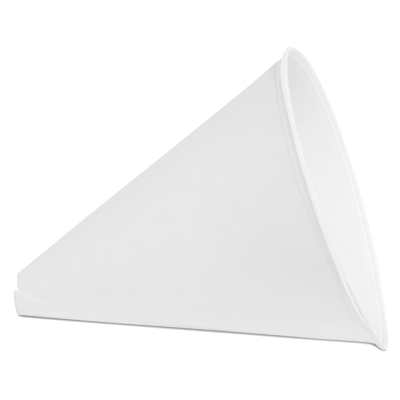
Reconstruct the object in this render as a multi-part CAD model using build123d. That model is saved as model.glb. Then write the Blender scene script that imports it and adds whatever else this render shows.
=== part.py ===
from build123d import *
import math
import os

# Cone paper cup, empty, lying on its side.  All sizes in mm.
# While it is built, the point of the cone is at the origin and the axis runs
# along +Z to the mouth.  Azimuth 0 is the uppermost side of the lying cup,
# 90 the side towards -Y and 180 the side that lies on the table.

# ---- paper -----------------------------------------------------------------
PLY = 0.20            # one thickness of the paper
HALF_ANGLE = 20.275   # half angle of the cone, degrees
LAP = 10.0            # width of the glued side lap

# ---- mouth -----------------------------------------------------------------
SLANT = 99.56         # point of the cone to the root of the turned rim, along the wall
CREASE = 1.60         # the crease ring lies this far below the root
CREASE_OUT = 0.08     # how far the wall leans out between crease and root
HEM_RUN = 1.45        # root to the centre of the lip, along the axis
HEM_RISE = 1.35       # root to the centre of the lip, outwards
LIP = 0.40            # radius of the rolled lip
HEM_OFF = 0.35        # the cut edge of the turned paper stands this far off the wall
HEM_SLOPE = math.radians(40)      # square to the turned paper at its cut edge
TAB_FROM, TAB_TO = 108.5, 129.0   # azimuths of the doubled piece of the hem
TAB_WIDE, TAB_THICK = 0.60, 0.15

# ---- edge of the sheet, in its flat pattern ---------------------------------
EDGE_NEAR = 12.20     # nearest distance of the straight outer edge to the cone's point
EDGE_FLAT = -21.7     # flat-pattern angle of that nearest place, degrees
EDGE_CORNER = 17.30   # nearer the point than this, the sheet's corner is cut back
CORNER_TURN = 3.25    # degrees of azimuth for each mm along the cut corner

# ---- blunt tip ---------------------------------------------------------------
TIP_Z = 13.15         # height of the oblique trim on the axis, above the cone's point
TIP_LEAN = 1.00       # its rise and fall at the wall
TIP_LOW = 165.0       # azimuth where it comes nearest the point
SHORT_Z = 15.38       # the sheet's inner end stops square here
SHORT_FROM, SHORT_TO = -5.0, 57.0
NOTCH_FROM, NOTCH_TO = 55.0, 65.5
NOTCH_Z = 16.24       # deepest place of the notch between the two ends
PLUG_IN = 3.3         # the folded-in end lies this far inside the trim
PLUG = 0.45           # its folded thicknesses together
PLUG_DISH = 0.9       # it bulges inwards by this much

# ---- rest --------------------------------------------------------------------
FLAT = 0.085          # depth of the small flats where tip and rim lie on the table

B = math.radians(HALF_ANGLE)
SINB, COSB, TANB = math.sin(B), math.cos(B), math.tan(B)
PLY_R = PLY / COSB                     # the ply measured square to the axis
Z_ROOT, R_ROOT = SLANT * COSB, SLANT * SINB
Z_CREASE = (SLANT - CREASE) * COSB
Z_LIP, R_LIP = Z_ROOT + HEM_RUN, R_ROOT + HEM_RISE
TIP_R = TIP_Z * TANB
# The wound sheet: a round cone for the inner ply, and over it a cone of the
# same angle that is moved sideways, so that it stands one ply proud at HIGH,
# sinks into the first on the far side, and ends in a step at the sheet's edge.
HIGH = math.radians(120)
MOVED = 0.55 * PLY_R
BRANCH = HIGH + math.pi


def edge_azimuth(z):
    """Azimuth in radians of the sheet's outer edge.  A straight edge that
    misses the point sweeps round the cone near the tip."""
    s = z / COSB
    cut = max(s, EDGE_CORNER)
    flat = EDGE_FLAT + math.degrees(math.acos(EDGE_NEAR / cut))
    return math.radians(flat / SINB - (cut - s) * CORNER_TURN)


def lap_angle(z):
    """Angle in radians that the side lap covers."""
    return min(LAP / max(z * TANB, 4.5), math.radians(95))


def turned(profile):
    """Solid of revolution of (radius, height) corners closed on the axis."""
    corners = [(0, profile[0][1])] + profile + [(0, profile[-1][1])]
    face = make_face(Polyline(*[(r, 0, z) for r, z in corners], close=True))
    return revolve(face, axis=Axis.Z)


def moved(profile):
    """The same, moved sideways towards HIGH, its radius less by that much."""
    inside = [(r - MOVED, z) for r, z in profile]
    return Pos(MOVED * math.cos(HIGH), MOVED * math.sin(HIGH), 0) * turned(inside)


def sector(azimuth, z):
    """Cross section of the part of the cone between an azimuth and BRANCH."""
    pts = [(0, 0, z)]
    for k in range(6):
        a = azimuth + (BRANCH - azimuth) * k / 5
        pts.append((70 * math.cos(a), 70 * math.sin(a), z))
    return Wire.make_polygon(pts)


def beyond_edge(inner):
    """The space on the covered side of the sheet's outer or inner edge."""
    def start(z):
        return edge_azimuth(z) + (lap_angle(z) if inner else 0.0)

    z_cut = EDGE_CORNER * COSB
    tip = Solid.make_loft([sector(start(z), z) for z in (9.0, z_cut)], ruled=True)
    heights = [z_cut + (Z_LIP + 4 - z_cut) * (k / 15) ** 1.8 for k in range(16)]
    side = Solid.make_loft([sector(start(z), z) for z in heights])
    return tip + side


def wall(z_from, depth):
    """Corners of the wall, this deep under its outermost face."""
    return [
        (z_from * TANB - depth, z_from),
        (Z_CREASE * TANB - depth, Z_CREASE),
        (R_ROOT + CREASE_OUT - depth, Z_ROOT),
    ]


def tangent(px, pz, side, radius=LIP):
    """Where a line from (px, pz) touches a circle round the lip's centre."""
    dx, dz = R_LIP - px, Z_LIP - pz
    far = math.hypot(dx, dz)
    a = math.atan2(dz, dx) + side * math.asin(radius / far)
    run = math.sqrt(far * far - radius * radius)
    return px + run * math.cos(a), pz + run * math.sin(a)


def turned_rim():
    """The sheet's top edge, turned out and down on itself round the lip."""
    out_r, out_z = math.cos(HEM_SLOPE), -math.sin(HEM_SLOPE)
    edge = (R_ROOT + 0.02 + HEM_OFF * out_r, Z_ROOT + 0.02 + HEM_OFF * out_z)
    touch = tangent(*edge, side=-1)
    heel = (R_ROOT - 0.5, Z_ROOT + 0.26)
    inside = tangent(*heel, side=1)
    far = (R_LIP + LIP * math.cos(0.9), Z_LIP + LIP * math.sin(0.9))

    def at(p):
        return (p[0], 0, p[1])

    outline = Polyline(at(inside), at(heel), at(edge), at(touch)) + ThreePointArc(at(touch), at(far), at(inside))
    rim = revolve(make_face(outline), axis=Axis.Z)

    # the doubled piece of the hem
    ux, uz = touch[0] - edge[0], touch[1] - edge[1]
    length = math.hypot(ux, uz)
    ux, uz = ux / length, uz / length
    corners = [
        (edge[0] + run * ux + rise * uz, edge[1] + run * uz - rise * ux)
        for run, rise in ((0.01, -0.05), (0.01, TAB_THICK), (TAB_WIDE, TAB_THICK), (TAB_WIDE, -0.05))
    ]
    face = make_face(Polyline(*[at(p) for p in corners], close=True))
    tab = revolve(face, axis=Axis.Z, revolution_arc=TAB_TO - TAB_FROM).rotate(Axis.Z, TAB_FROM)
    return rim + tab


def hollow():
    """The space inside the cup, out through the mouth and the open tip."""
    def profile(depth, shave):
        corners = wall(11.0, depth)
        px, pz = corners[-1]
        tx, tz = tangent(px, pz, side=1, radius=LIP - shave)
        more = 0.6 / math.hypot(tx - px, tz - pz)
        return corners + [(tx + (tx - px) * more, tz + (tz - pz) * more)]

    deep = profile(2 * PLY_R, 0.012)
    top = deep[-1][1]
    shallow = wall(11.0, PLY_R) + [(deep[-1][0] - 0.03, top)]
    space = turned(deep) + (moved(shallow) & beyond_edge(True))

    # the tip's end, folded in and pressed together, stays as a dished web
    chord = TIP_R + 0.6
    ball = (chord * chord + PLUG_DISH * PLUG_DISH) / (2 * PLUG_DISH)
    centre = Pos(0, 0, PLUG_IN + PLUG_DISH - ball)
    web = TRIM * centre * (Sphere(ball) - Sphere(ball - PLUG))
    return space - web


low = math.radians(TIP_LOW)
tilt = TIP_LEAN / TIP_R
trim_normal = Vector(tilt * math.cos(low), tilt * math.sin(low), 1).normalized()
TRIM = Plane(origin=(0, 0, TIP_Z), x_dir=(-math.sin(low), math.cos(low), 0), z_dir=trim_normal)


def below_trim():
    """Half space that the oblique trim takes off the tip."""
    return TRIM * Pos(0, 0, -20) * Box(60, 60, 40)


def short_end():
    """The square end of the inner sheet, a sector of the tip."""
    a, b = math.radians(SHORT_FROM), math.radians(SHORT_TO)
    mid = (a + b) / 2
    sector = Polyline(
        (0, 0),
        (14 * math.cos(a), 14 * math.sin(a)),
        (20 * math.cos(mid), 20 * math.sin(mid)),
        (14 * math.cos(b), 14 * math.sin(b)),
        close=True,
    )
    return extrude(make_face(sector), SHORT_Z)


def notch():
    """The little gap between the two ends of the sheet."""
    mid = (NOTCH_FROM + NOTCH_TO) / 2
    r = SHORT_Z * TANB
    flat = [(NOTCH_FROM, SHORT_Z - 0.02), (NOTCH_TO, NOTCH_Z), (SHORT_TO, SHORT_Z - 1.2), (SHORT_TO - 3, SHORT_Z - 1.2)]
    pts = [(3.0, r * math.tan(math.radians(a - mid)), z) for a, z in flat]
    face = make_face(Polyline(*pts, close=True))
    return extrude(face, amount=6, dir=(1, 0, 0)).rotate(Axis.Z, mid)


def build_cup():
    over = wall(12.0, 0.0) + [(R_ROOT + CREASE_OUT, Z_ROOT + 0.18)]
    under = wall(12.0, PLY_R) + [(R_ROOT + CREASE_OUT - PLY_R, Z_ROOT + 0.18)]
    cup = turned(under) + (moved(over) & beyond_edge(False)) + turned_rim()
    cup = cup - hollow()
    return cup - below_trim() - short_end() - notch()


def lay_down(cup):
    """Lay the cup on the low edge of its tip and on its rim."""
    # line that touches the trimmed tip and the lip at azimuth 180
    zt = TIP_Z
    for _ in range(30):
        zt = TIP_Z - tilt * (zt * TANB) * math.cos(math.pi - low)
    rt = zt * TANB
    dz, dr = Z_LIP - zt, R_LIP - rt
    lean = math.atan2(dr, dz) + math.asin(LIP / math.hypot(dz, dr))
    # axis from +Z to (cos lean, 0, sin lean); azimuth 0 turns to the top
    place = Plane(origin=(0, 0, 0), x_dir=(-math.sin(lean), 0, math.cos(lean)), z_dir=(math.cos(lean), 0, math.sin(lean)))
    laid = place * cup
    lowest = laid.bounding_box().min.Z
    laid = Pos(0, 0, -lowest - FLAT) * laid
    laid = laid - Pos(0, 0, -10) * Box(400, 400, 20)
    box = laid.bounding_box()
    return Pos(-(box.min.X + box.max.X) / 2, -(box.min.Y + box.max.Y) / 2, 0) * laid, lean


cup, lean = lay_down(build_cup())
body = cup.solids()[0] if len(cup.solids()) == 1 else cup
os.makedirs("parts", exist_ok=True)
body.label = "paper_cone"
export_step(body, "parts/paper_cone.step")
box = body.bounding_box()
print("solids", len(body.solids()), "valid", body.is_valid, "volume", round(body.volume, 1))
print("box", box.min, box.max, "axis leans", round(math.degrees(lean), 3))
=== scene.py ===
import bpy
import math
import numpy as np
from mathutils import Matrix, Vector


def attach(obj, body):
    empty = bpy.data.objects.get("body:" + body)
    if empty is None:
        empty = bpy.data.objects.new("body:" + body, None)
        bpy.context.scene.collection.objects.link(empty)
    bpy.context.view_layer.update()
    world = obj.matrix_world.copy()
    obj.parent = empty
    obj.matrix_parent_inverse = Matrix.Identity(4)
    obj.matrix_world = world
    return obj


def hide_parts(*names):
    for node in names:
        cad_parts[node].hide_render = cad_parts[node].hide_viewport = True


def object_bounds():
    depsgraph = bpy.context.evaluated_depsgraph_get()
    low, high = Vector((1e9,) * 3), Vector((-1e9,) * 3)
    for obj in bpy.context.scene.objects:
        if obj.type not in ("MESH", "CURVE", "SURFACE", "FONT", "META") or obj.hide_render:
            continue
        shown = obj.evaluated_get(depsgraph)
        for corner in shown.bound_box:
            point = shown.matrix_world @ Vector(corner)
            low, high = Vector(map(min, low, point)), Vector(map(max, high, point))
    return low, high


# Cone paper cup, empty, lying on its side.  Sizes are in millimetres and are
# turned to metres when a mesh is made.
# Cup axes: first towards the top side of the lying cup (azimuth 0), second
# towards the camera's side (azimuth 90), third along the cone's axis from its
# point to the mouth.  Azimuth 180 lies on the floor.

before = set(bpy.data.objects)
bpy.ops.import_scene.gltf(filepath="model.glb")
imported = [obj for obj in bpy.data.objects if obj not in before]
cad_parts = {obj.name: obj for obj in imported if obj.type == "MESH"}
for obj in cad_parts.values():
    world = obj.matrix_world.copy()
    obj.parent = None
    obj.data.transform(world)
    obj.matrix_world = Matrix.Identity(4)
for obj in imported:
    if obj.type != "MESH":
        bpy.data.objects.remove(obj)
cad_low, cad_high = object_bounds()

# ---- sizes of the cup, as in the solid model ---------------------------------
PLY = 0.20
HALF_ANGLE = 20.275
SLANT = 99.56
CREASE = 1.60
CREASE_OUT = 0.08
HEM_RUN, HEM_RISE = 1.45, 1.35     # the lip of the solid; the sheet turns inside it
TURN_RUN, TURN_RISE = 1.20, 1.12   # where the sheet itself turns, a little nearer
LIP = 0.40
HEM_OFF, HEM_SLOPE = 0.35, math.radians(40)
LAP = 10.0
EDGE_NEAR, EDGE_FLAT, EDGE_CORNER, CORNER_TURN = 12.20, -22.0, 17.30, 4.0
TIP_Z, TIP_LEAN, TIP_LOW = 13.15, 1.00, math.radians(165)
LEAN = math.radians(21.030)        # the axis rises this much from +X

# ---- how the real cup departs from the round cone ------------------------------
OVAL, OVAL_AT = math.radians(1.00), math.radians(25.4)   # squashed a little
TILT, TILT_AT = 0.0076, math.radians(274.6)              # wall longer on the far side
LOBE, LOBE_AT = 0.0036, math.radians(87.6)               # a faint three-sidedness
# the slant at which the sheet ends at the tip, by azimuth along the winding
END = [
    (55, 15.90), (59.3, 15.40), (62.5, 15.04), (70, 14.80), (78, 14.65), (86, 14.40),
    (95.5, 14.12), (104, 13.89), (114.5, 13.60), (133, 13.05), (150, 12.64), (163, 12.45),
    (174, 12.62), (185, 12.98), (205, 13.55), (230, 13.95), (260, 14.25), (290, 14.60), (320, 14.95),
    (340, 15.25), (350, 15.47), (360, 15.71), (370, 16.08), (380, 16.34), (390, 16.48),
    (400, 16.49), (410, 16.36), (416, 16.22), (418, 16.25), (421, 16.42), (425.5, 16.62), (430, 16.80),
    (440, 17.30), (450, 17.50), (540, 17.50),
]
# how much longer than usual the turned-back paper is, how much further out the
# lip lies, and how far the crease ring wanders towards the mouth
HEM_MORE = [(0, -.10), (19, .00), (26, .05), (36, -.30), (46, -.45), (57, -.32), (68, -.42), (84, -.28), (96, -.30), (103, -.35), (109, -.25),
            (113, -.28), (119, -.34), (128, -.34), (135, -.50), (145, -.75), (165, -.50), (190, -.30), (230, -.50), (270, -.25), (310, -.45), (360, -.10)]
LIP_MORE = [(0, -.12), (10, .04), (18, .10), (28, -.06), (36, -.28), (46, -.32), (57, -.42), (70, -.44), (90, -.26), (120, -.12), (150, .00),
            (205, .00), (228, .34), (250, .32), (270, .02), (285, .08), (303, .30), (325, .34), (338, .10), (350, -.10), (360, -.12)]
RING_MORE = [(0, -.50), (15, -.60), (30, -.25), (45, -.30), (66, -.50), (83, .00), (94, .35), (103, .55), (110, .40), (121, .00),
             (150, -.20), (200, -.10), (250, .15), (300, -.30), (360, -.50)]

B0 = math.radians(HALF_ANGLE)
TANB = math.tan(B0)
RAD = math.pi / 180


def edge_azimuth(s):
    """Azimuth (radians) of the sheet's outer edge at the distance s along the wall."""
    cut = np.maximum(s, EDGE_CORNER)
    flat = EDGE_FLAT + np.degrees(np.arccos(EDGE_NEAR / cut))
    return np.radians(flat / math.sin(B0) - (cut - s) * CORNER_TURN)


def lap_angle(s):
    return np.minimum(LAP / np.maximum(s * math.sin(B0), 4.5), math.radians(95))


def around(table, width=3):
    """A table of (azimuth in degrees, value) as a smooth function of azimuth."""
    deg = np.arange(720) / 2.0
    t = np.array(table, float)
    v = np.interp(deg, t[:, 0], t[:, 1])
    k = np.exp(-0.5 * (np.arange(-40, 41) / (2.0 * width)) ** 2)
    k /= k.sum()
    v = np.convolve(np.concatenate([v, v, v]), k, "same")[720:1440]
    v = np.append(v, v[0])
    return lambda psi: np.interp(np.degrees(psi) % 360.0, np.arange(721) / 2.0, v)


hem_more, lip_more, ring_more = around(HEM_MORE), around(LIP_MORE), around(RING_MORE)


def half_angle(psi):
    return B0 + OVAL * np.cos(2 * (psi - OVAL_AT))


def basis(psi):
    """Direction along the wall, outward normal of the wall, radial and axis
    directions at the azimuth psi, each an array of vectors."""
    b = half_angle(psi)
    db = -2 * OVAL * np.sin(2 * (psi - OVAL_AT))
    c, s, z = np.cos(psi), np.sin(psi), np.zeros_like(psi)
    along = np.stack([np.sin(b) * c, np.sin(b) * s, np.cos(b)], -1)
    out = np.stack([np.cos(b) * c, np.cos(b) * s, -np.sin(b)], -1)
    side = np.stack([-s, c, z], -1)
    normal = np.sin(b)[..., None] * out - db[..., None] * side
    normal /= np.linalg.norm(normal, axis=-1, keepdims=True)
    radial = np.stack([c, s, z], -1)
    axis = np.zeros_like(radial)
    axis[..., 2] = 1
    longer = 1 + TILT * np.cos(psi - TILT_AT)
    lobe = LOBE * np.cos(3 * (psi - LOBE_AT))
    along = along * longer[..., None] + normal * lobe[..., None]
    return along, normal, radial, axis


def waves(psi, s, table):
    """Sum of smooth waves over the wall: the paper is never quite even."""
    total = np.zeros(np.broadcast(psi, s).shape)
    for amount, turns, run, phase in table:
        total = total + amount * np.sin(turns * psi + run * s + phase)
    return total


UNEVEN = [
    (0.035, 3, 0.045, 0.7), (0.030, 5, -0.060, 2.1), (0.022, 7, 0.085, 4.0),
    (0.014, 11, -0.130, 1.3), (0.010, 16, 0.210, 5.2), (0.006, 23, -0.33, 0.4),
]


def trimmed_end(psi):
    """Distance along the wall at which the sheet ends at the tip; psi runs on
    past one turn for the part that lies under the outer edge."""
    t = np.array(END)
    return np.interp(psi / RAD, t[:, 0], t[:, 1])


def hem_path(o, longer=0.0, further=0.0):
    """The mouth-side skin of the turned rim from the root to the cut edge, as
    (r, z) offsets from the root of the wall's outer face, for a sheet that
    lies o outside (negative: inside) that face.  Also the skin's normals.
    longer: extra turned-back paper; further: the lip lies this much further out."""
    lip = LIP - 0.10 - o
    cx, cz = TURN_RISE + 0.68 * further, TURN_RUN + 0.73 * further

    def touch(px, pz, side):
        dx, dz = cx - px, cz - pz
        far = math.hypot(dx, dz)
        a = math.atan2(dz, dx) + side * math.asin(lip / far)
        run = math.sqrt(far * far - lip * lip)
        return px + run * math.cos(a), pz + run * math.sin(a)

    nr, nz = math.cos(B0), -math.sin(B0)
    lift = o + CREASE_OUT - PLY
    start = (lift * nr, lift * nz)
    more = -o - 0.10
    edge = (
        0.02 + HEM_OFF * math.cos(HEM_SLOPE) + more * 0.819 - longer * 0.50,
        0.02 - HEM_OFF * math.sin(HEM_SLOPE) - more * 0.573 - longer * 0.866,
    )
    t1 = touch(*start, 1)
    t2 = touch(*edge, -1)
    pts = []
    for k in range(1, 9):                      # flare
        f = (k / 8) ** 1.15
        pts.append((start[0] + (t1[0] - start[0]) * f, start[1] + (t1[1] - start[1]) * f))
    a1 = math.atan2(t1[1] - cz, t1[0] - cx)
    a2 = math.atan2(t2[1] - cz, t2[0] - cx)
    for k in range(1, 14):                     # lip
        a = a1 + (a2 - a1) * k / 13
        pts.append((cx + lip * math.cos(a), cz + lip * math.sin(a)))
    for k in range(1, 9):                      # turned back down to the cut edge
        f = k / 8
        bow = 0.05 * math.sin(math.pi * f)
        pts.append((t2[0] + (edge[0] - t2[0]) * f + bow * 0.819, t2[1] + (edge[1] - t2[1]) * f - bow * 0.573))
    pts = np.array(pts)
    full = np.vstack([[start[0] - 0.2 * math.sin(B0), start[1] - 0.2 * math.cos(B0)], [start], pts])
    d = np.gradient(full, axis=0)[2:]
    d[-1] = full[-1] - full[-2]
    d /= np.linalg.norm(d, axis=1, keepdims=True)
    normals = np.stack([d[:, 1], -d[:, 0]], 1)       # towards the sheet's other face
    length = np.cumsum(np.linalg.norm(np.diff(full[1:], axis=0), axis=1))
    return pts, normals, length


# columns of the sheet from its outer edge (0) to its inner edge (1), closer at both
FROM_EDGE = [0, .0003, .0008, .0015, .0024, .0036, .0050, .0067, .0087, .0110, .0136, .0166, .0200]
TO_EDGE = [.9880, .9920, .9950, .9972, .9986, .9994, 1.0]
COLUMN = np.concatenate([FROM_EDGE, np.linspace(0.02, 0.984, 362)[1:], TO_EDGE])[None, :]
WALL_ROWS = 65


# tone against the single paper's outside: the inside, the flare to the lip, the lip, the turned-back paper; and how
# much greyer the crease ring is. Much of this is painted light and shade. The inside is a little whiter, is painted
# lighter low down and on the far side where light comes in at the mouth, and is painted greyer on top. The turned-back
# paper is whiter, partly for being doubled and partly as painted light, and is painted greyer low down by the floor.
# The flare and lip are a little greyer as painted shade. The crease ring's grey is painted shade, and the same table
# sets how deep its groove is
FLARE, LIPTONE = 0.99, 0.97
INSIDE = around([(0, 1.045), (30, 1.035), (90, 1.05), (180, 1.09), (205, 1.10), (221, 1.085), (248, 1.095), (275, 1.11), (290, 1.095), (301, 1.082), (323, 1.040), (345, 1.055), (360, 1.045)], 6)
TURNED = around([(0, 1.14), (50, 1.15), (90, 1.12), (108, 1.16), (126, 1.16), (133, 1.05), (165, 1.02), (195, 1.08), (360, 1.14)], 3)
LINE_1 = around([(0, .080), (55, .080), (75, .050), (95, .022), (135, .022), (180, .040), (300, .060), (360, .080)], 5)


def sheet():
    """The wound sheet as two skins of points, (rows, columns, 3) each, with the paper's tone at each point: its
    whiteness together with painted light and shade."""
    w = COLUMN
    # where the sheet starts at the tip
    s0 = np.full_like(w, 15.0)
    for _ in range(60):
        s0 = 0.5 * s0 + 0.5 * trimmed_end(edge_azimuth(s0) + w * (2 * math.pi + lap_angle(s0)))

    def winding(s):
        e = edge_azimuth(s)
        psi = e + w * (2 * math.pi + lap_angle(s))
        turns = (psi - e) / (2 * math.pi)
        return psi, turns

    def offset(turns, s):
        # pressed tight away from the tip, a hair looser near it
        gap = 0.012 + 0.03 * np.exp(-((s - 13.0) / 3.0) ** 2)
        return -turns * (PLY + gap)

    v = np.linspace(0, 1, WALL_ROWS)[:, None]
    psi_rim, _ = winding(np.full_like(w, SLANT))
    ring = SLANT - CREASE + ring_more(psi_rim)
    s = s0 + (ring - 0.55 - s0) * v ** 1.45
    steps = np.array([-0.42, -0.32, -0.25, -0.19, -0.13, -0.08, -0.04, 0.0, 0.04, 0.08, 0.13, 0.19, 0.25, 0.32, 0.42])[:, None]
    last = np.array([0.25, 0.5, 0.75, 1.0])[:, None]
    s = np.vstack([s, ring + steps, ring + 0.42 + (SLANT - ring - 0.42) * last])
    psi, turns = winding(s)
    along, normal, radial, axis = basis(psi)
    o = offset(turns, s)
    lean = CREASE_OUT * np.clip((s - ring) / (SLANT - ring), 0, 1) ** 1.6
    # the crease ring, pressed in from outside, not equally deep all round
    depth = (0.040 + 1.05 * LINE_1(psi)) * (1 + 0.20 * np.sin(3 * psi + 2.0) + 0.15 * np.sin(7 * psi))
    groove = depth * np.exp(-(((s - ring) / 0.20) ** 2))
    fade = np.clip((s - 17) / 12, 0, 1) * np.clip((SLANT - s) / 3, 0, 1)
    uneven = waves(psi, s, UNEVEN) * fade
    # a shallow hollow half way along, low on the side
    degrees = np.degrees(psi) % 360
    uneven = uneven - 0.28 * np.exp(-((degrees - 156) / 26) ** 2 - ((s - 58) / 17) ** 2)
    # and by the rim: a little flatter below, a little fuller on top
    by_rim = np.clip((SLANT - s) / 2.5, 0, 1)
    uneven = uneven - 0.26 * np.exp(-((degrees - 152) / 22) ** 2 - ((s - 94) / 6) ** 2) * by_rim
    uneven = uneven + 0.24 * np.exp(-(((degrees + 180) % 360 - 182) / 16) ** 2 - ((s - 97) / 3.5) ** 2) * by_rim
    # the outer ply's edge is pressed down, almost to nothing away from the tip
    inward = w * (2 * math.pi + lap_angle(s)) * s * math.sin(B0)
    away = np.clip((s - 21) / 11, 0, 1)
    away = away * away * (3 - 2 * away)
    soft = np.clip(inward / (2.6 + 1.9 * away), 0, 1)
    thin = (PLY - (0.035 - 0.020 * away)) * (1 - soft) ** 2
    # and its free corner stands off a little at the tip
    free = np.exp(-((s - 14.2) / 1.6) ** 2) * np.exp(-(w * 11) ** 2) * 0.05
    level = o + lean + uneven + free - groove
    outer = along * s[..., None] + normal * (level - thin)[..., None]
    inner = along * s[..., None] + normal * (level + 0.88 * groove - PLY)[..., None]

    # the turned rim, one outline for each column
    root_s = np.full_like(w, SLANT)
    psi_r, turns_r = winding(root_s)
    o_r = offset(turns_r, root_s)[0]
    paths = [hem_path(float(x), float(m), float(f)) for x, m, f in zip(o_r, hem_more(psi_r[0]), lip_more(psi_r[0]))]
    count = len(paths[0][0])
    path = np.array([p[0] for p in paths]).transpose(1, 0, 2)
    norm = np.array([p[1] for p in paths]).transpose(1, 0, 2)
    run = np.array([p[2] for p in paths]).T
    psi_h, _ = winding(SLANT + run)
    al, no, ra, ax = basis(psi_h)
    # soft unevenness of the hem and of its cut edge
    ripple = waves(psi_h, np.zeros_like(psi_h), [(0.035, 4, 0, 0.5), (0.030, 9, 0, 2.2), (0.018, 17, 0, 1.1), (0.012, 31, 0, 4.4)])
    t = np.linspace(0, 1, count)[:, None]
    ripple = ripple * t
    base = al * SLANT
    skin_in = base + ra * (path[..., 0] + ripple * 0.35)[..., None] + ax * (path[..., 1] - ripple * 0.55)[..., None]
    skin_out = skin_in + PLY * (ra * norm[..., 0:1] + ax * norm[..., 1:2])
    outer = np.concatenate([outer, skin_out])
    inner = np.concatenate([inner, skin_in])

    # how white the paper looks at each point: doubled paper lets less light through and is a hair whiter; the greyer
    # crease ring and cut edges and most of the marks below are painted light and shade
    s_all = np.vstack([s, SLANT + run])
    psi_all = np.vstack([psi, psi_h])
    e = edge_azimuth(s_all)
    lap = lap_angle(s_all)
    over = psi_all - e
    hair = np.radians(1.0)
    lapped = np.clip((lap - over) / hair, 0, 1) + np.clip((over - 2 * math.pi) / hair, 0, 1)
    tone_out = 1 + 0.004 * np.clip(lapped, 0, 1)
    # the inside: the INSIDE tone, whiter paper with painted light, and painted lighter deeper in, away from the rim
    tone_in = INSIDE(psi_all) + 0.065 * np.clip((97 - s_all) / 17, 0, 1)
    wall = slice(0, len(s))
    line = np.exp(-((s - ring) / 0.20) ** 2)
    # painted shade along the crease ring, not equally dark all round
    tone_out[wall] -= LINE_1(psi) * line * (0.75 + 0.25 * np.sin(4 * psi + 0.4))
    low_side = np.degrees(psi) % 360
    # painted shade: soft darker patches on the near side of the wall, towards the rim
    tone_out[wall] -= 0.030 * np.exp(-((low_side - 103) / 13) ** 2 - ((s - 94) / 7) ** 2)
    tone_out[wall] -= 0.036 * np.exp(-((low_side - 90) / 21) ** 2 - ((s - 87) / 14) ** 2)
    # painted shade along the crease ring, softer and wider on top, and a painted light line beside it further down;
    # the band between the crease and the hem's cut edge is painted lighter to hold back the shade under the hem
    from_top = (low_side + 180) % 360 - 180
    tone_out[wall] -= 0.030 * np.exp(-((from_top - 10) / 12) ** 2 - ((s - ring) / 0.50) ** 2)
    tone_out[wall] -= 0.020 * np.exp(-((from_top - 6) / 11) ** 2 - ((s - ring + 1.0) / 2.2) ** 2)
    tone_out[wall] += 0.026 * np.exp(-((from_top - 45) / 28) ** 2 - ((s - ring - 0.45) / 0.22) ** 2)
    tone_out[wall] += 0.012 * np.exp(-((s - ring - 0.75) / 0.35) ** 2)
    tone_out[wall] += 0.035 * np.clip((s - ring - 0.6) / 0.7, 0, 1)
    # a painted highlight along the crease ring's trace on the inside, on the far side
    tone_in[wall] += 0.020 * line * np.exp(-((low_side - 286) / 28) ** 2)
    # the outer edge catches the light near the tip, and the paper beside it too
    beside = (over[wall] - 2 * math.pi) * s * math.sin(B0)
    strip = np.exp(-((inward - 0.25) / 0.45) ** 2) + np.exp(-(beside / 0.30) ** 2)
    tone_out[wall] += 0.030 * strip * np.clip((31 - s) / 10, 0.14 * (s < 65), 1)
    # the cut end at the tip is a little greyer, most on the free end
    turn_deg = np.degrees(psi)
    at_flap = np.clip((turn_deg - 60) / 3, 0, 1) * np.clip((185 - turn_deg) / 25, 0, 1)
    tone_out[wall] -= (0.030 + 0.090 * at_flap) * np.exp(-((s - s0) / 0.45) ** 2)
    # painted light low down, where the glowing table lights the wall, and painted shade up by the rim
    tone_out[wall] += 0.026 * np.exp(-((low_side - 128) / 21) ** 2) * np.clip((74 - s) / 24, 0, 1) * np.clip((s - 14) / 10, 0, 1)
    tone_out[wall] += 0.012 * np.exp(-((low_side - 146) / 12) ** 2)
    tone_out[wall] += 0.022 * np.exp(-((low_side - 148) / 10) ** 2) * np.clip((s - 84) / 8, 0, 1)
    tone_out[wall] -= 0.025 * np.exp(-((low_side - 142) / 18) ** 2) * np.clip((s - 98.3) / 0.8, 0, 1)
    tone_out[wall] -= 0.020 * np.clip((s - 70) / 22, 0, 1) * np.clip((90 - (low_side + 60) % 360 + 60) / 25, 0, 1)
    # along the hem, from its root over the lip to the cut edge, with painted light and shade
    left = run[-1:] - run
    rows_at = np.arange(count)[:, None] + 0.0 * left
    turned = TURNED(psi_h)
    hem = np.interp(rows_at, [0, 2, 6, 9, 14, 20, count], [0, 0, 0, 0, 0, 1, 1])
    # painted light on the flare, most on the far side
    painted_light = np.interp(rows_at, [0, 3, 8, 11, 14, count], [0, 0.02, 0.11, 0.11, 0, 0]) * (0.5 - 0.5 * np.sin(psi_h))
    hem = (np.interp(rows_at, [0, 11, 14, count], [FLARE, FLARE, LIPTONE, LIPTONE]) + painted_light) * (1 - hem) + turned * hem
    # painted shade along the hem's cut edge
    hem = hem - 0.03 * np.clip(1 - left / 0.25, 0, 1)
    # painted shade on the hem low on the near side
    hem = hem - 0.040 * np.exp(-((np.degrees(psi_h) % 360 - 132) / 33) ** 2) * np.clip((rows_at - 8) / 3, 0, 1)
    tone_in[len(s):] = tone_in[len(s):] + (hem - tone_in[len(s):]) * np.clip(rows_at / 3, 0, 1)
    # painted shade inside at the root of the rim
    tone_in[wall] -= 0.020 * np.exp(-((s - SLANT) / 0.7) ** 2)
    # the seam inside: a thin shadow along the sheet's inner edge
    seam = (over[wall] - lap[wall]) * s * math.sin(B0)
    tone_in[wall] -= 0.075 * np.exp(-((seam - 0.12) / 0.28) ** 2)
    tone_out[len(s):] = 0.9
    return outer, inner, tone_out, tone_in


def grid_faces(rows, cols, first, flip=False):
    i = np.arange(rows - 1)[:, None] * cols + np.arange(cols - 1)[None, :] + first
    q = np.stack([i, i + 1, i + cols + 1, i + cols], -1).reshape(-1, 4)
    return q[:, ::-1] if flip else q


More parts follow.
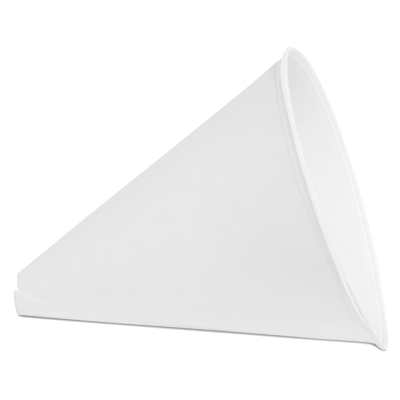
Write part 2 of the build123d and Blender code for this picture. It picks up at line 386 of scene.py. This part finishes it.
class Builder:
    """Collects points, faces and the paper's tone, its whiteness with painted light and shade, of one mesh."""

    def __init__(self):
        self.points, self.faces, self.tone, self.count = [], [], [], 0

    def add(self, pts, faces, tone):
        pts = pts.reshape(-1, 3)
        self.points.append(pts)
        self.faces += [tuple(int(k) + self.count for k in f) for f in faces]
        self.tone.append(np.broadcast_to(np.asarray(tone, float).reshape(-1), (len(pts),)) if np.size(tone) > 1 else np.full(len(pts), float(tone)))
        self.count += len(pts)

    def shell(self, top, bottom, tone_top, tone_bottom):
        """A sheet with two skins (rows, columns, 3) closed along all its edges.
        top faces outwards for a grid whose columns run with the azimuth."""
        rows, cols = top.shape[:2]
        n = rows * cols
        faces = [grid_faces(rows, cols, 0, flip=False), grid_faces(rows, cols, n, flip=True)]
        border = [k for k in range(cols)]
        border += [r * cols + cols - 1 for r in range(1, rows)]
        border += [(rows - 1) * cols + k for k in range(cols - 2, -1, -1)]
        border += [r * cols for r in range(rows - 2, 0, -1)]
        sides = []
        for a, b in zip(border, border[1:] + border[:1]):
            sides.append((b, a, a + n, b + n))
        pts = np.concatenate([top.reshape(-1, 3), bottom.reshape(-1, 3)])
        tone = np.concatenate([np.asarray(tone_top).reshape(-1), np.asarray(tone_bottom).reshape(-1)])
        self.add(pts, [f for block in faces for f in block] + sides, tone)

    def object(self, name, to_world):
        pts = np.concatenate(self.points)
        me = bpy.data.meshes.new(name)
        me.from_pydata((to_world(pts) * 0.001).tolist(), [], self.faces)
        me.update()
        att = me.attributes.new("tone", "FLOAT", "POINT")
        att.data.foreach_set("value", np.concatenate(self.tone).astype(np.float32))
        ob = bpy.data.objects.new(name, me)
        bpy.context.scene.collection.objects.link(ob)
        me.polygons.foreach_set("use_smooth", [True] * len(me.polygons))
        me.set_sharp_from_angle(angle=math.radians(38))
        return ob


# ---- the sheet ------------------------------------------------------------------
outer, inner, tone_out, tone_in = sheet()
cup = Builder()
cup.shell(outer, inner, tone_out, tone_in)

# ---- the doubled piece of the hem -------------------------------------------------
TAB_FROM, TAB_TO, TAB_UP, TAB_THICK = 107.0, 127.5, 1.35, 0.11


def tab():
    cols = 37
    psi = np.radians(np.linspace(TAB_FROM, TAB_TO, cols))[None, :]
    e = float(edge_azimuth(np.array(SLANT)))
    turns = (psi[0] + 2 * math.pi - e) / (2 * math.pi)
    top, bottom = [], []
    for k in range(cols):
        pts, nor, run = hem_path(float(-turns[k] * (PLY + 0.012)), float(hem_more(psi[0, k])), float(lip_more(psi[0, k])))
        # from the lip's crown back down to where this layer was cut
        total = run[-1] - TAB_UP - 0.04 * math.sin(k * 0.55) - 0.03 * math.sin(k * 0.21)
        stations = np.linspace(run[9], total, 26)
        r = np.interp(stations, run, pts[:, 0])
        z = np.interp(stations, run, pts[:, 1])
        nr = np.interp(stations, run, nor[:, 0])
        nz = np.interp(stations, run, nor[:, 1])
        f = np.linspace(0, 1, 26)
        ends = np.clip(min(k, cols - 1 - k) / 3, 0, 1)
        up = TAB_THICK * ends * (np.clip(f / 0.25, 0, 1) ** 0.7 + 0.4 * np.clip((f - 0.8) / 0.2, 0, 1)) - 0.02 * (1 - ends)
        low = -0.03 + 0.06 * np.clip((f - 0.86) / 0.14, 0, 1)
        top.append(np.stack([r - nr * up, z - nz * up], 1))
        bottom.append(np.stack([r - nr * low, z - nz * low], 1))
    top = np.array(top).transpose(1, 0, 2)
    bottom = np.array(bottom).transpose(1, 0, 2)
    al, no, ra, ax = basis(np.broadcast_to(psi, top.shape[:2]))
    base = al * SLANT

    def place(q):
        return base + ra * q[..., 0:1] + ax * q[..., 1:2]

    return place(top), place(bottom)


tab_top, tab_bottom = tab()
# the tab's tone, with painted shade along its cut edge
tab_tone = np.full(tab_top.shape[:2], 0.98)
tab_tone[-9:] = np.linspace(0.98, 0.88, 9)[:, None]
cup.shell(tab_bottom, tab_top, tab_tone, tab_tone)


# ---- the tip's end, folded in and pressed together ---------------------------------
def web():
    rings, spokes = 26, 144
    tilt = TIP_LEAN / (TIP_Z * TANB)
    f = np.linspace(0, 1, rings)[:, None]
    a = np.linspace(0, 2 * math.pi, spokes + 1)[None, :]
    # height of the rim of the fold above the trim plane, then radius from the wall
    inside = 3.1 + 0.12 * np.sin(2 * a + 0.6)
    z_trim = TIP_Z / (1 + tilt * TANB * np.cos(a - TIP_LOW))
    z_wall = z_trim + inside
    b = half_angle(a)
    turn_in = ((a / RAD - 66) % 360) / 360
    turn_in = np.where(turn_in < 95 / 360, turn_in + 1, turn_in)
    r_wall = z_wall * np.tan(b) - (0.10 + 0.25 * turn_in) / np.cos(b)
    # the middle is where the folds meet
    cr, ca = 0.7, math.radians(70)
    mid = np.array([cr * math.cos(ca), cr * math.sin(ca)])
    x_wall, y_wall = r_wall * np.cos(a), r_wall * np.sin(a)
    x = mid[0] + (x_wall - mid[0]) * f
    y = mid[1] + (y_wall - mid[1]) * f
    turn = 0.55 * (1 - f)
    aa = a + turn
    # five flattened pleats that lie over each other like a fan
    n = 5
    phase = (aa * n / (2 * math.pi)) % 1.0
    pleat = np.where(phase < 0.88, phase / 0.88, (1 - phase) / 0.12)
    z_mid = TIP_Z + 3.6
    z = z_mid + (z_wall - z_mid) * f ** 2.2 + 0.42 * (pleat - 0.5) * np.sin(math.pi * np.clip(f * 1.02, 0, 1)) ** 0.8
    z = z + 0.55 * (1 - f ** 2) * 0.5
    pts = np.stack([x + 0 * z, y + 0 * z, z], -1)
    # the lower edge of each pleat lies in the shadow of the next
    step = np.minimum(np.abs(phase - 0.92), 1 - np.abs(phase - 0.92))
    grey = 1 - 0.16 * np.exp(-(step / 0.045) ** 2) * np.clip((1 - f) * 6, 0, 1) * np.clip(f * 5, 0, 1) + 0 * z
    return pts, pts + np.array([0, 0, 0.24]), grey


web_low, web_high, web_tone = web()
cup.shell(web_high, web_low, web_tone, web_tone)


# ---- into the frame ---------------------------------------------------------------
def turned_to_world(lean):
    x_c = np.array([-math.sin(lean), 0, math.cos(lean)])
    y_c = np.array([0.0, -1.0, 0.0])
    z_c = np.array([math.cos(lean), 0, math.sin(lean)])
    return np.stack([x_c, y_c, z_c])


everything = np.concatenate(cup.points)
near_tip = everything[:, 2] < 40
lean = LEAN
for _ in range(12):
    m = turned_to_world(lean)
    p = everything @ m
    tip, rim = p[near_tip], p[~near_tip]
    a, b = tip[np.argmin(tip[:, 2])], rim[np.argmin(rim[:, 2])]
    lean += math.atan2(a[2] - b[2], b[0] - a[0])
m = turned_to_world(lean)
p = everything @ m
lift = -p[:, 2].min()
# the cone's point, where the solid model has it
apex = np.array([
    cad_high.x * 1000 - ((SLANT * math.cos(B0) + HEM_RUN) * math.cos(LEAN) + (SLANT * math.sin(B0) + HEM_RISE) * math.sin(LEAN) + LIP),
    0.0,
    lift,
])
paper_cup = cup.object("paper_cup", lambda q: q @ m + apex)
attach(paper_cup, "root")
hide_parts("paper_cone")
print("lean", math.degrees(lean), "apex", apex, "triangles", sum(len(f) - 2 for f in cup.faces))


# ---- paper -------------------------------------------------------------------------
def paper_material():
    mat = bpy.data.materials.new("white_cup_paper")
    mat.use_nodes = True
    nt = mat.node_tree
    nodes, link = nt.nodes, nt.links.new
    nodes.clear()
    out = nodes.new("ShaderNodeOutputMaterial")
    shader = nodes.new("ShaderNodeBsdfPrincipled")
    link(shader.outputs[0], out.inputs[0])
    where = nodes.new("ShaderNodeTexCoord").outputs["Object"]

    def noise(scale, detail, rough, distort=0.0, stretch=None):
        n = nodes.new("ShaderNodeTexNoise")
        n.inputs["Scale"].default_value = scale
        n.inputs["Detail"].default_value = detail
        n.inputs["Roughness"].default_value = rough
        n.inputs["Distortion"].default_value = distort
        if stretch:
            mp = nodes.new("ShaderNodeMapping")
            mp.inputs["Scale"].default_value = stretch
            mp.inputs["Rotation"].default_value = (0.4, 0.9, 0.3)
            link(where, mp.inputs["Vector"])
            link(mp.outputs[0], n.inputs["Vector"])
        else:
            link(where, n.inputs["Vector"])
        return n.outputs[0]

    def math_node(op, a, b):
        n = nodes.new("ShaderNodeMath")
        n.operation = op
        for k, x in enumerate((a, b)):
            if isinstance(x, (int, float)):
                n.inputs[k].default_value = x
            else:
                link(x, n.inputs[k])
        return n.outputs[0]

    cloud = noise(260, 4, 0.55)                  # cloudy look of the sheet, about 4 mm
    fibre = noise(2600, 3, 0.6, 0.6, (1, 1, 5))   # fibres, under half a millimetre
    grain = noise(7000, 2, 0.5)

    mottle = math_node("ADD", math_node("MULTIPLY", cloud, 0.55), math_node("MULTIPLY", fibre, 0.45))
    ramp = nodes.new("ShaderNodeValToRGB")
    ramp.color_ramp.elements[0].position = 0.25
    ramp.color_ramp.elements[0].color = (0.716, 0.716, 0.714, 1)
    ramp.color_ramp.elements[1].position = 0.75
    ramp.color_ramp.elements[1].color = (0.741, 0.741, 0.739, 1)
    link(mottle, ramp.inputs[0])

    # the tone attribute scales the colour: doubled paper is a little whiter, and the sheet's painted light and shade,
    # darker creases and cut edges and lighter or darker patches, come in here
    tone_att = nodes.new("ShaderNodeAttribute")
    tone_att.attribute_type = "GEOMETRY"
    tone_att.attribute_name = "tone"
    shade = nodes.new("ShaderNodeVectorMath")
    shade.operation = "SCALE"
    link(ramp.outputs[0], shade.inputs[0])
    link(tone_att.outputs["Fac"], shade.inputs["Scale"])
    link(shade.outputs[0], shader.inputs["Base Color"])

    rough = math_node("ADD", math_node("MULTIPLY", fibre, 0.14), 0.66)
    link(rough, shader.inputs["Roughness"])
    shader.inputs["Specular IOR Level"].default_value = 0.28

    height = math_node("ADD", math_node("MULTIPLY", fibre, 0.6), math_node("MULTIPLY", grain, 0.4))
    bump = nodes.new("ShaderNodeBump")
    bump.inputs["Strength"].default_value = 0.22
    bump.inputs["Distance"].default_value = 0.00004
    link(height, bump.inputs["Height"])
    link(bump.outputs[0], shader.inputs["Normal"])
    return mat


paper_cup.data.materials.append(paper_material())

# ---- floor and light ---------------------------------------------------------------
floor_mesh = bpy.data.meshes.new("floor")
half = 4.0
CONTACT = 0.0006
# how dark the painted contact shadow is, and how bright the glowing table
SHADOW_DARK, TABLE = 0.30, 1.08
FAR_END = 0.0425
# the painted contact shadow under the cup: place along X and half width, in millimetres
SHADOW_REACH = [(-45.0, -1.0), (-44.5, 0.5), (-43.9, 1.45), (-43.1, 1.90), (-40, 2.05), (-35, 2.15), (-28, 2.30), (-10, 2.40), (8, 2.45), (14.5, 2.50), (20, 2.60),
         (30, 2.60), (38, 2.50), (40.4, 2.80), (41.1, 3.3), (41.8, 4.2), (42.5, 5.4), (43.2, 6.5), (43.9, 6.8), (44.6, 5.9), (45.3, 3.8), (46.0, 1.0), (46.4, -1.0)]
floor_mesh.from_pydata([(-half, -half, 0), (half, -half, 0), (half, half, 0), (-half, half, 0)], [], [(0, 1, 2, 3)])
floor = bpy.data.objects.new("floor", floor_mesh)
bpy.context.scene.collection.objects.link(floor)
# a lit white table that glows evenly; a narrow shadow is painted dark along the line on which the cup lies, from the
# tip's contact to the rim's, and painted contact shade from ambient occlusion darkens it where the cup is close
def floor_material(tip_at, rim_at):
    mat = bpy.data.materials.new("pale_floor")
    mat.use_nodes = True
    nt = mat.node_tree
    nodes, link = nt.nodes, nt.links.new
    nodes.clear()
    place = nodes.new("ShaderNodeSeparateXYZ")
    link(nodes.new("ShaderNodeTexCoord").outputs["Object"], place.inputs[0])

    def calc(op, a, b=0.0):
        n = nodes.new("ShaderNodeMath")
        n.operation = op
        for k, v in enumerate((a, b)):
            if isinstance(v, (int, float)):
                n.inputs[k].default_value = v
            else:
                link(v, n.inputs[k])
        return n.outputs[0]

    def soft(value, low, high):
        n = nodes.new("ShaderNodeMapRange")
        n.interpolation_type = "SMOOTHSTEP"
        link(value, n.inputs["Value"])
        n.inputs["From Min"].default_value, n.inputs["From Max"].default_value = low, high
        return n.outputs["Result"]

    slope = (rim_at[1] - tip_at[1]) / (rim_at[0] - tip_at[0])
    line = calc("ADD", calc("MULTIPLY", place.outputs["X"], slope), tip_at[1] - slope * tip_at[0])
    # how far the painted shadow reaches to either side of that line
    reach = nodes.new("ShaderNodeValToRGB")
    ramp = reach.color_ramp
    first, span = SHADOW_REACH[0][0], SHADOW_REACH[-1][0] - SHADOW_REACH[0][0]
    while len(ramp.elements) < len(SHADOW_REACH):
        ramp.elements.new(0.5)
    for stop, (x, half_width) in zip(ramp.elements, SHADOW_REACH):
        stop.position = (x - first) / span
        stop.color = ((half_width + 2) / 10,) * 3 + (1,)
    link(calc("DIVIDE", calc("SUBTRACT", place.outputs["X"], first * 0.001), span * 0.001), reach.inputs[0])
    width = calc("MULTIPLY", calc("SUBTRACT", reach.outputs[0], 0.2), 0.010)
    side = calc("SUBTRACT", place.outputs["Y"], line)
    # on the far side of the line the painted shadow ends where the rim comes down
    far_end = calc("MULTIPLY", calc("SUBTRACT", place.outputs["X"], FAR_END), 3.0)
    before = calc("MULTIPLY", calc("SUBTRACT", tip_at[0] - 0.0006, place.outputs["X"]), 3.0)
    far_by = calc("MAXIMUM", calc("MAXIMUM", calc("SUBTRACT", side, 0.0023), calc("ADD", side, far_end)), before)
    out_by = calc("MAXIMUM", calc("MULTIPLY", calc("ADD", side, width), -1.0), far_by)
    open_air = soft(out_by, -0.0008, 0.0011)
    # painted contact shade: an ambient occlusion term darkens the glow where the cup is close
    near = nodes.new("ShaderNodeAmbientOcclusion")
    near.samples = 16
    near.inputs["Distance"].default_value = CONTACT
    light = calc("MULTIPLY", calc("ADD", calc("MULTIPLY", open_air, 1 - SHADOW_DARK), SHADOW_DARK), soft(near.outputs["AO"], -1.7, 0.8))
    glow = nodes.new("ShaderNodeEmission")
    link(calc("MULTIPLY", light, TABLE), glow.inputs["Strength"])
    link(glow.outputs[0], nodes.new("ShaderNodeOutputMaterial").inputs[0])
    return mat


world_points = everything @ m + apex
low_tip = world_points[near_tip][np.argmin(world_points[near_tip][:, 2])] * 0.001
low_rim = world_points[~near_tip][np.argmin(world_points[~near_tip][:, 2])] * 0.001
floor_mesh.materials.append(floor_material(tuple(map(float, low_tip[:2])), tuple(map(float, low_rim[:2]))))

world = bpy.data.worlds.new("studio")
bpy.context.scene.world = world
world.use_nodes = True
bg = world.node_tree.nodes["Background"]
bg.inputs["Color"].default_value = (1, 1, 1, 1)
bg.inputs["Strength"].default_value = 0.98


def area(name, at, to, size, power):
    light = bpy.data.lights.new(name, "AREA")
    light.shape = "RECTANGLE"
    light.size, light.size_y = size
    light.energy = power
    ob = bpy.data.objects.new(name, light)
    at, to = np.array(at, float), np.array(to, float)
    z = at - to
    z /= np.linalg.norm(z)
    x = np.cross([0, 0, 1], z)
    if np.linalg.norm(x) < 1e-6:
        x = np.array([1.0, 0, 0])
    x /= np.linalg.norm(x)
    y = np.cross(z, x)
    ob.matrix_world = Matrix([[x[0], y[0], z[0], at[0]], [x[1], y[1], z[1], at[1]], [x[2], y[2], z[2], at[2]], [0, 0, 0, 1]])
    bpy.context.scene.collection.objects.link(ob)
    return ob


area("key", (0.60, -0.62, 0.84), (0, 0, 0.03), (0.8, 0.8), 4.0)

# ---- camera ------------------------------------------------------------------------
cam_data = bpy.data.cameras.new("camera")
cam_data.sensor_width = 36.0
cam_data.lens = 133.71
cam_data.clip_start, cam_data.clip_end = 0.01, 20
cam = bpy.data.objects.new("camera", cam_data)
bpy.context.scene.collection.objects.link(cam)
right = np.array([0.99007, 0.13607, 0.03527])
forward = np.array([-0.12332, 0.96123, -0.24665])
forward /= np.linalg.norm(forward)
right -= forward * (right @ forward)
right /= np.linalg.norm(right)
up = np.cross(right, forward)
place = np.array([98.4174, -333.915, 117.5535])
turn = lean - math.radians(21.336)     # the camera keeps its place round the cup
spin = np.array([[math.cos(turn), 0, -math.sin(turn)], [0, 1, 0], [math.sin(turn), 0, math.cos(turn)]])
right, up, forward, place = spin @ right, spin @ up, spin @ forward, spin @ place
at = (place + apex) * 0.001
cam.matrix_world = Matrix([
    [right[0], up[0], -forward[0], at[0]],
    [right[1], up[1], -forward[1], at[1]],
    [right[2], up[2], -forward[2], at[2]],
    [0, 0, 0, 1],
])
bpy.context.scene.camera = cam

bpy.context.scene.view_settings.view_transform = "Standard"
bpy.context.scene.view_settings.look = "None"
